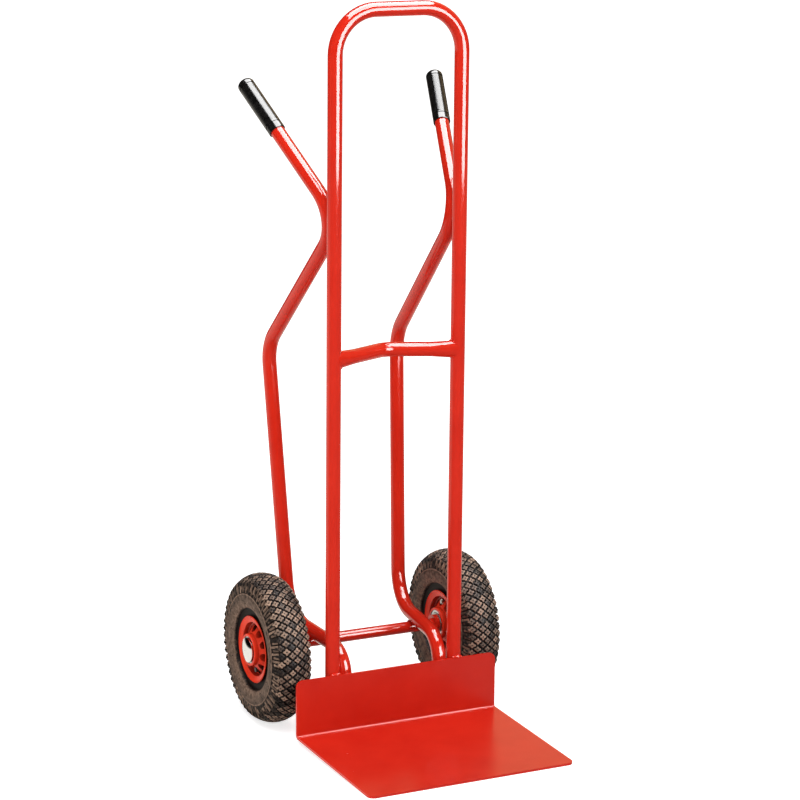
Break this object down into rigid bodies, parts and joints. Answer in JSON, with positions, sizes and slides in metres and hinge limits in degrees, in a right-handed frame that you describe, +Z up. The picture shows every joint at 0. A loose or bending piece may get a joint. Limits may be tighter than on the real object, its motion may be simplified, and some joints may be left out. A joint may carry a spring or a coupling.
{
  "type": "hand truck",
  "caption": "Upright two-wheeled hand truck with a bent tube frame, swept-back side handles with grips, a bowed cross bar, pneumatic wheels on a through axle and a folded toe plate.",
  "frame": {"origin": "on the floor, at the middle of the truck's footprint", "axes": "+Z up along the uprights; -Y towards the load side and the toe plate; +X to the right seen from the load side"},
  "size_m": [0.4464, 0.557, 1.245],
  "materials": {
    "frame_paint": "gloss red stoving enamel over steel tube",
    "rim_red": "gloss red moulding",
    "tyre": "worn black rubber with brown dust",
    "inner_tube_rubber": "smooth butyl rubber",
    "grip_plastic": "soft black vinyl",
    "cap_chrome": "polished",
    "zinc_steel": "zinc plated",
    "bearing_steel": "ground",
    "valve_brass": "turned",
    "valve_cap_plastic": "moulded"
  },
  "bodies": {
    "frame": {"main_loop_tube": "frame_paint", "cross_bar": "frame_paint", "toe_plate": "frame_paint", "axle": "frame_paint", "left_side_tube": "frame_paint", "right_side_tube": "frame_paint", "left_grip": "grip_plastic", "right_grip": "grip_plastic", "left_hub_spacer": "zinc_steel", "left_outer_washer": "zinc_steel", "left_inner_washer": "zinc_steel", "left_axle_collar": "frame_paint", "left_hub_cap": "cap_chrome", "left_outer_bearing_inner_ring": "bearing_steel", "left_inner_bearing_inner_ring": "bearing_steel", "right_hub_spacer": "zinc_steel", "right_outer_washer": "zinc_steel", "right_inner_washer": "zinc_steel", "right_axle_collar": "frame_paint", "right_hub_cap": "cap_chrome", "right_outer_bearing_inner_ring": "bearing_steel", "right_inner_bearing_inner_ring": "bearing_steel"},
    "left_wheel": {"left_tyre": "tyre", "left_inner_tube": "inner_tube_rubber", "left_rim_outer_half": "rim_red", "left_rim_inner_half": "rim_red", "left_rim_bolts": "zinc_steel", "left_rim_nuts": "zinc_steel", "left_valve_stem": "valve_brass", "left_valve_cap": "valve_cap_plastic", "left_outer_bearing_outer_ring": "bearing_steel", "left_inner_bearing_outer_ring": "bearing_steel"},
    "left_bearing_cages": {"left_outer_bearing_balls": "bearing_steel", "left_outer_bearing_cage": "bearing_steel", "left_inner_bearing_balls": "bearing_steel", "left_inner_bearing_cage": "bearing_steel"},
    "right_wheel": {"right_tyre": "tyre", "right_inner_tube": "inner_tube_rubber", "right_rim_outer_half": "rim_red", "right_rim_inner_half": "rim_red", "right_rim_bolts": "zinc_steel", "right_rim_nuts": "zinc_steel", "right_valve_stem": "valve_brass", "right_valve_cap": "valve_cap_plastic", "right_outer_bearing_outer_ring": "bearing_steel", "right_inner_bearing_outer_ring": "bearing_steel"},
    "right_bearing_cages": {"right_outer_bearing_balls": "bearing_steel", "right_outer_bearing_cage": "bearing_steel", "right_inner_bearing_balls": "bearing_steel", "right_inner_bearing_cage": "bearing_steel"}
  },
  "joints": [
    {"name": "left_wheel_spin", "type": "hinge", "parent": "frame", "child": "left_wheel", "pos_m": [-0.182, 0.1465, 0.13], "axis": [1, 0, 0], "continuous": true},
    {"name": "right_wheel_spin", "type": "hinge", "parent": "frame", "child": "right_wheel", "pos_m": [0.182, 0.1465, 0.13], "axis": [1, 0, 0], "continuous": true},
    {"name": "left_cage_spin", "type": "hinge", "parent": "frame", "child": "left_bearing_cages", "pos_m": [-0.182, 0.1465, 0.13], "axis": [1, 0, 0], "continuous": true},
    {"name": "right_cage_spin", "type": "hinge", "parent": "frame", "child": "right_bearing_cages", "pos_m": [0.182, 0.1465, 0.13], "axis": [1, 0, 0], "continuous": true}
  ],
  "couplings": [
    {"joint": "left_cage_spin", "follows": "left_wheel_spin", "ratio": 0.6179},
    {"joint": "right_cage_spin", "follows": "right_wheel_spin", "ratio": 0.6179}
  ]
}
